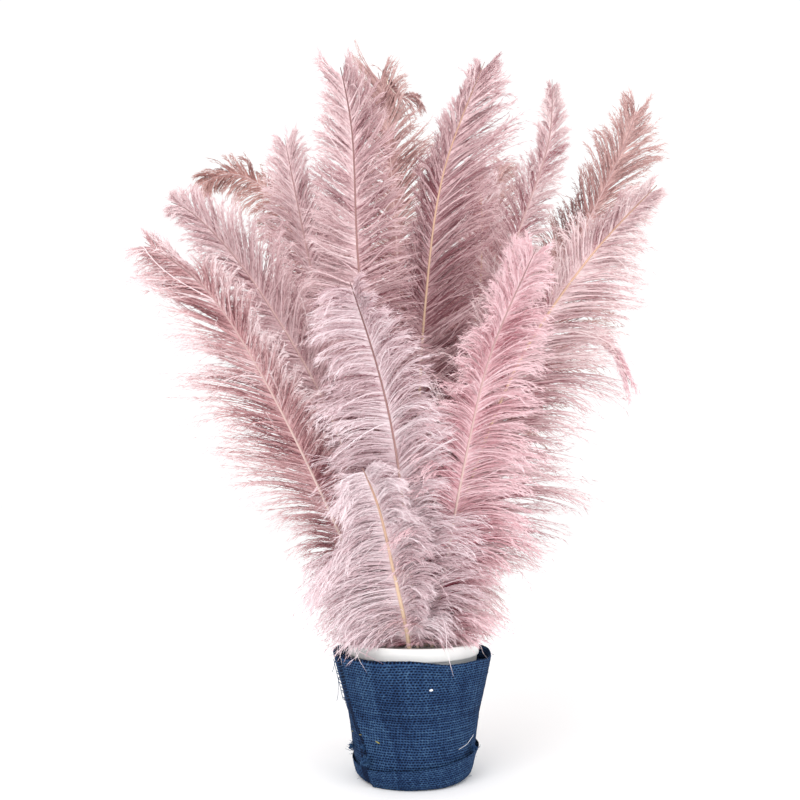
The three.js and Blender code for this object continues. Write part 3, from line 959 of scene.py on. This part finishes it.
def burlap_material():
    """Navy jute in plain weave, with a painted highlight where a weft thread is on top and painted shade in
    the gaps between threads.
    """
    material, tree, shader = new_material("burlap_navy_weave", 0.95, 0.1)
    wobble = noise(tree, 160.0, 2.0) * THREAD_WOBBLE
    warp = attribute(tree, "warp") + wobble
    weft = attribute(tree, "weft") + wobble * 0.5
    # Painted highlight on the weft crowns, and painted shade in the gaps between threads
    ridge = join("ABSOLUTE", join("SINE", weft * math.pi))
    every_other_row = join("ROUND", weft) * 0.5
    beside = (join("COSINE", (warp + every_other_row) * (2 * math.pi)) + 1.0) * 0.5
    gap = (1.0 - ridge**0.8) * beside**0.9
    weave = ridge * RIDGE_PAINTED_HIGHLIGHT - gap * GAP_PAINTED_SHADE
    mottle = noise(tree, 700.0, 4.0) * FIBRE_WEIGHT + noise(tree, 40.0, 2.0) * PATCH_WEIGHT
    colour_by(shader, weave + attribute(tree, "tone") * THREAD_WEIGHT + mottle, BURLAP_STOPS)
    roughen(shader, noise(tree, 1400.0, 3.0), 0.5, 0.0004)
    return material


def plain_material(name, colour, roughness):
    """One flat colour."""
    material, _tree, shader = new_material(name, roughness)
    shader.inputs["Base Color"].default_value = linear(colour)
    return material


# Pot

def lathe(name, profile, steps, material):
    """A closed surface turned round the Z axis from (radius, height) points, ends on the axis."""
    angles = np.linspace(0, 2 * math.pi, steps, endpoint=False)
    profile = np.asarray(profile, float)
    radii, heights = profile[1:-1, 0][:, None], profile[1:-1, 1][:, None]
    height_grid = np.broadcast_to(heights, (len(heights), steps))
    points = np.stack([radii * np.cos(angles), radii * np.sin(angles), height_grid], 2).reshape(-1, 3)
    points = np.concatenate([points, [[0, 0, profile[0, 1]], [0, 0, profile[-1, 1]]]])
    first, last = len(points) - 2, len(points) - 1
    top = (len(radii) - 1) * steps
    ends = []
    for i in range(steps):
        beside = (i + 1) % steps
        ends += [(first, beside, i), (last, top + i, top + beside)]
    triangles = np.concatenate([ring_walls(len(radii), steps), ends])
    return mesh_object(name, points, triangles, [material])


def make_pot(material):
    """The pot, with a rounded rim, a band below it and a flat floor inside."""
    r, h = POT_RIM_RADIUS, POT_HEIGHT
    base, floor, band = POT_BASE_RADIUS, POT_FLOOR_RADIUS, h - POT_RIM_BAND
    profile = [
        (0, 0), (base - 2 * MM, 0), (base - 0.5 * MM, 0.5 * MM), (base, 2 * MM),
        (r - 1.6 * MM, band - 1.6 * MM), (r - 0.9 * MM, band - 1.2 * MM), (r - 0.1 * MM, band - 0.2 * MM),
        (r, band + 0.6 * MM), (r, h - 1.4 * MM), (r - 0.4 * MM, h - 0.4 * MM), (r - 1.4 * MM, h),
        (r - 2.3 * MM, h - 0.4 * MM), (r - POT_WALL, h - 1.6 * MM),
        (floor + 1 * MM, POT_FLOOR + 2 * MM), (floor - 1 * MM, POT_FLOOR), (0, POT_FLOOR),
    ]
    made = lathe("white_pot", profile, POT_STEPS, material)
    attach(made, "root")
    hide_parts("pot")


# Burlap sleeve

def section_arrays():
    """The cloth's section at every weft sample: radius and height, and its run from the cuff's edge."""
    section = np.array(CLOTH_SECTION) * MM
    run = np.concatenate([[0], np.cumsum(np.linalg.norm(np.diff(section, axis=0), axis=1))])
    rows = int(run[-1] / WEFT_PITCH * WEFT_SAMPLES) + 1
    down = np.linspace(0, run[-1], rows)
    return np.interp(down, run, section[:, 0]), np.interp(down, run, section[:, 1]), run[-1]


def section_normals(radius, height):
    """The section's direction away from the pot at each sample, as its radial and upward parts."""
    outward_r, outward_z = np.gradient(height), -np.gradient(radius)
    size = np.hypot(outward_r, outward_z)
    rising = np.sign(outward_r + 1e-9)
    return outward_r / size * rising, outward_z / size * rising


def seam_angle(height):
    """The angle of the lapped edge at a height: it runs aslant down the left front."""
    heights, angles = zip(*SEAM)
    return np.radians(np.interp(height / MM, heights, angles))


def cuff_shift(height, angle):
    """The cuff's heights and radii once it is tilted: lower at the left front, higher at the right."""
    outer = np.array([CUFF_HIGHEST] + CLOTH_SECTION[:CUFF_POINTS]) * MM
    tilt = CUFF_TILT * np.sin(angle - math.radians(CUFF_TILT_FROM_DEG)) - CUFF_LOWER
    moved = np.minimum(height * (1 + tilt), outer[0, 1])
    return moved, np.interp(moved, outer[::-1, 1], outer[::-1, 0])


def thread_relief(warp, weft, rng):
    """How far threads stand out where they pass over each other, as a share of the weave's depth."""
    over = -np.sin(math.pi * warp) * np.sin(math.pi * weft)
    ridge = np.abs(np.sin(math.pi * weft)) - 0.6
    return 0.5 * over + 0.3 * ridge + rng.normal(0, 0.25, over.shape)


def thread_tones(warp, weft, turn, rng):
    """How pale the cloth is: uneven from thread to thread, and dark beside the lapped edge from a painted
    shadow.
    """
    by_warp = rng.normal(0, 1, warp.size + 2)[warp.astype(int)]
    faded = wander(warp.size, WEFT_FADE_THREADS, rng)[:, None]
    by_weft = faded + rng.normal(0, 1, weft.size + 2)[weft.astype(int)]
    # Painted shadow where the cloth passes under the lapped edge
    painted_lap_shadow = SEAM_SHADOW * smooth(*np.radians(SEAM_SHADOW_DEG), turn)
    return 0.5 + 0.07 * by_warp + 0.05 * by_weft + rng.normal(0, 0.1, (warp.size, weft.size)) - painted_lap_shadow


def cloth_points(radius, height, turn, angle, relief):
    """The sleeve's points (column, row, xyz): cuff, lap, sag, wavy top and weave."""
    outward_r, outward_z = section_normals(radius, height)
    is_cuff = (np.arange(len(height)) < height.argmin())[None]
    cuff_height, cuff_radius = cuff_shift(height[None], angle)
    near_top = smooth(0.7 * CLOTH_TOP, CLOTH_TOP, height)[None]
    wave = sum(size * np.sin(times * angle + phase) for size, times, phase in TOP_WAVES) * MM * near_top
    settle = smooth(*np.radians(LAP_SETTLES_DEG), turn)
    curled_edge = CLOTH_EDGE_CURL * (1 - smooth(0, math.radians(EDGE_CURL_DEG), turn))
    sag = CLOTH_SAG * np.sin(5 * angle + 40 * height[None]) * (1 - 0.5 * near_top)
    out = CLOTH_LAP_RISE * (1 - settle) + curled_edge + sag + relief * WEAVE_DEPTH
    for peak_deg, width_deg, peak, flare in SIDE_PEAKS:
        away = (np.degrees(angle) - peak_deg + 180) % 360 - 180
        share = np.exp(-((away / width_deg) ** 2)) * near_top
        wave = wave + peak * MM * share
        out = out + flare * MM * share
    r = np.where(is_cuff, cuff_radius, radius[None]) + out * outward_r[None]
    z = np.where(is_cuff, cuff_height, height[None]) + wave + out * outward_z[None]
    return np.stack([r * np.cos(angle), r * np.sin(angle), np.maximum(z, CLOTH_LOWEST)], 2)


def grid_triangles(columns, rows):
    """The triangles between the points of a grid, listed column by column."""
    i = np.arange(columns - 1)[:, None] * rows + np.arange(rows - 1)[None]
    a, b, c, d = i.ravel(), (i + rows).ravel(), (i + rows + 1).ravel(), (i + 1).ravel()
    return np.concatenate([np.stack([a, d, c], 1), np.stack([a, c, b], 1)])


def make_burlap(material, loose_threads):
    """The burlap sleeve as one woven sheet: relief of threads, cuff, lapped front edge and wavy top."""
    rng = np.random.default_rng(7)
    radius, height, run = section_arrays()
    sweep = math.radians(360 + CLOTH_LAP_DEG)
    columns = int(sweep * CLOTH_MEAN_RADIUS / WARP_PITCH * WARP_SAMPLES) + 1
    rows = len(radius)
    turn = np.linspace(0, sweep, columns)[:, None]
    warp = np.arange(columns)[:, None] / WARP_SAMPLES
    weft = np.arange(rows)[None] / WEFT_SAMPLES
    relief = thread_relief(warp, weft, rng)
    tone = thread_tones(warp, weft, turn, rng)
    points = cloth_points(radius, height, turn, seam_angle(height)[None] + turn, relief)
    triangles = grid_triangles(columns, rows)
    values = {
        "tone": np.clip(tone, 0, 1).ravel(),
        "warp": np.broadcast_to(warp, (columns, rows)).ravel(),
        "weft": np.broadcast_to(weft, (columns, rows)).ravel(),
    }
    made = mesh_object("burlap_sleeve", points.reshape(-1, 3), triangles, [material], values)
    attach(made, "root")
    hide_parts("burlap_wrap")


# Loose threads and lint

def on_sleeve(angle, height, lift):
    """A point over the sleeve's outer face, at an angle and a height, lifted off it."""
    outer_face = [(r, z) for r, z in CLOTH_SECTION if r > 55 or z < 12][:-3]
    radii, heights = zip(*sorted(outer_face, key=lambda point: point[1]))
    r = np.interp(height / MM, heights, radii) * MM + lift
    return np.array([r * math.cos(angle), r * math.sin(angle), height])


def off_seam(past, height, lift):
    """A point past the lapped edge by an angle, at a height and with a lift in millimetres."""
    return on_sleeve(seam_angle(height * MM) - past, height * MM, lift * MM)


def thread_along(parts, start, stop, bow, radius, rng, bends=8, sides=5):
    """One loose thread from start to stop, bowed and a little crooked."""
    share = np.linspace(0, 1, bends + 1)[:, None]
    arc = np.sin(math.pi * share)
    crooked = np.cumsum(rng.normal(0, 0.16, (bends + 1, 3)), axis=0) * MM * arc
    points, triangles = tube(start + (stop - start) * share + arc * bow + crooked, radius, sides)
    parts.add(points, triangles, rng.uniform(0.35, 0.75), 0.5)


def sagging(depth):
    """A thread's bow when its middle hangs down by a depth in millimetres."""
    return np.array([0, 0, -depth]) * MM


def add_frayed_edge(parts, rng):
    """A ladder of weft threads by the lapped edge, its two rails, and long threads that hang from it."""
    for height in np.linspace(LADDER_TOP, LADDER_FOOT, LADDER_THREADS) * MM:
        edge = seam_angle(height)
        start = on_sleeve(edge + rng.uniform(0.02, 0.06), height, CLOTH_LAP_RISE + 0.6 * MM)
        stop = on_sleeve(edge - rng.uniform(0.09, 0.16), height - rng.uniform(0, 3) * MM, 5.5 * MM)
        thread_along(parts, start, stop, sagging(1.5), THREAD_RADIUS * 0.8, rng)
    for threads, sag, thickness in ((LADDER_RAILS, 0, 0.7), (LONG_THREADS, 2, 0.55)):
        for ends in threads:
            start, stop = (off_seam(*end) for end in ends)
            thread_along(parts, start, stop, sagging(sag), THREAD_RADIUS * thickness, rng)


def add_hem_fibres(parts, rng):
    """Short fluff at the cuff's edge, the foot and the top edge."""
    for _ in range(HEM_FIBRES):
        angle = rng.uniform(0, 2 * math.pi)
        height = rng.choice(HEM_HEIGHTS, p=HEM_SHARES) * MM + rng.normal(0, 1.0) * MM
        start = on_sleeve(angle, height, 0.8 * MM)
        away = np.array([math.cos(angle), math.sin(angle), 0]) * rng.uniform(0.5, 2.6) * MM
        aside = rng.normal(0, 1.6, 3) * MM
        thread_along(parts, start, start + away + aside, sagging(0.4), FIBRE_RADIUS, rng, 4, 3)


def add_knots(parts, rng):
    """Tangled knots of thread on the cloth."""
    for angle_deg, height, lift, size in KNOTS:
        middle = on_sleeve(math.radians(angle_deg), height * MM, lift * MM)
        for _ in range(KNOT_THREADS):
            turn = unit(rng.normal(0, 1, 3))
            start, stop = middle - turn * size * MM, middle + turn * size * MM
            thread_along(parts, start, stop, rng.normal(0, 0.5, 3) * size * MM, THREAD_RADIUS, rng)


def make_loose_threads(material):
    """Every loose thread of the burlap as one piece."""
    rng = np.random.default_rng(11)
    parts = Parts()
    add_frayed_edge(parts, rng)
    add_hem_fibres(parts, rng)
    add_knots(parts, rng)
    made = parts.build("burlap_loose_threads", material)
    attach(made, "root")
    return made


def lint_path(start, stop):
    """Points over the cloth between two ends, each end as (degrees round the sleeve, height)."""
    start, stop = np.array(start, float), np.array(stop, float)
    places = [start + (stop - start) * share for share in np.linspace(0, 1, 7)]
    return [on_sleeve(math.radians(degrees), height * MM, LINT_LIFT * MM) for degrees, height in places]


def make_lint():
    """A white speck, a pale thread by the right foot and yellowish thread ends at the left."""
    rng = np.random.default_rng(5)
    materials = {name: plain_material(name, colour, 0.8) for name, colour in LINT_COLOURS.items()}
    rounded = np.sqrt(np.sin(math.pi * (0.06 + 0.88 * np.linspace(0, 1, 7))))
    for name, material, bits in LINT:
        parts = Parts()
        for start, stop, radius in bits:
            points, triangles = tube(lint_path(start, stop), radius * MM * rounded, 7)
            parts.add(points + rng.normal(0, 0.02, points.shape) * MM, triangles, 0.5, 0.5)
        made = parts.build(name, materials[material])
        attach(made, "root")


# Camera, light and floor

def make_camera():
    """The camera where the photographer stood."""
    camera = bpy.data.objects.new("camera", bpy.data.cameras.new("camera"))
    camera.location = CAMERA_PLACE
    camera.rotation_euler = (math.pi / 2 + CAMERA_PITCH, 0, 0)
    camera.data.sensor_width = SENSOR_WIDTH
    camera.data.sensor_fit = "HORIZONTAL"
    camera.data.lens = CAMERA_LENS
    camera.data.clip_start = 0.01
    bpy.context.scene.collection.objects.link(camera)
    bpy.context.scene.camera = camera


def area_light(name, place, target, size, power):
    """A square light that faces a target."""
    light = bpy.data.lights.new(name, "AREA")
    light.shape = "SQUARE"
    light.size = size
    light.energy = power
    made = bpy.data.objects.new(name, light)
    made.location = place
    direction = Vector(target) - Vector(place)
    made.rotation_euler = direction.to_track_quat("-Z", "Y").to_euler()
    bpy.context.scene.collection.objects.link(made)


def make_light():
    """A white studio: bright all round, with a large soft light above the camera."""
    scene = bpy.context.scene
    world = bpy.data.worlds.new("studio")
    world.use_nodes = True
    background = world.node_tree.nodes["Background"]
    background.inputs["Color"].default_value = (1, 1, 1, 1)
    background.inputs["Strength"].default_value = 1.05
    scene.world = world
    scene.view_settings.view_transform = "Standard"
    scene.view_settings.look = "None"
    area_light("key_light", (-0.9, -1.6, 1.9), (0, 0, 0.35), 1.4, 26)
    area_light("fill_light", (1.3, -1.3, 0.9), (0, 0, 0.35), 1.2, 9)


def make_floor():
    """A wide white floor."""
    bpy.ops.mesh.primitive_plane_add(size=60, location=(0, 0, 0))
    floor = bpy.context.object
    floor.name = "studio_floor"
    material, _tree, shader = new_material("studio_white", 0.9, 0.0)
    shader.inputs["Base Color"].default_value = (0.96, 0.96, 0.96, 1)
    floor.data.materials.append(material)


def main():
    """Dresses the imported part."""
    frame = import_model()
    make_camera()
    make_light()
    make_floor()
    materials = {key: plume_material("plume_" + key, *tone) for key, tone in TONES.items()}
    for name, stops in SHAFT_COLOURS.items():
        materials[name] = shaft_material(name, stops)
    foam = frame["nodes"]["foam_block"]
    foam.data.materials.clear()
    foam.data.materials.append(foam_material())
    make_pot(pot_material())
    burlap = burlap_material()
    make_burlap(burlap, make_loose_threads(burlap))
    make_lint()
    for layer, plume in enumerate(PLUMES):
        make_plume(plume, layer, materials)


main()
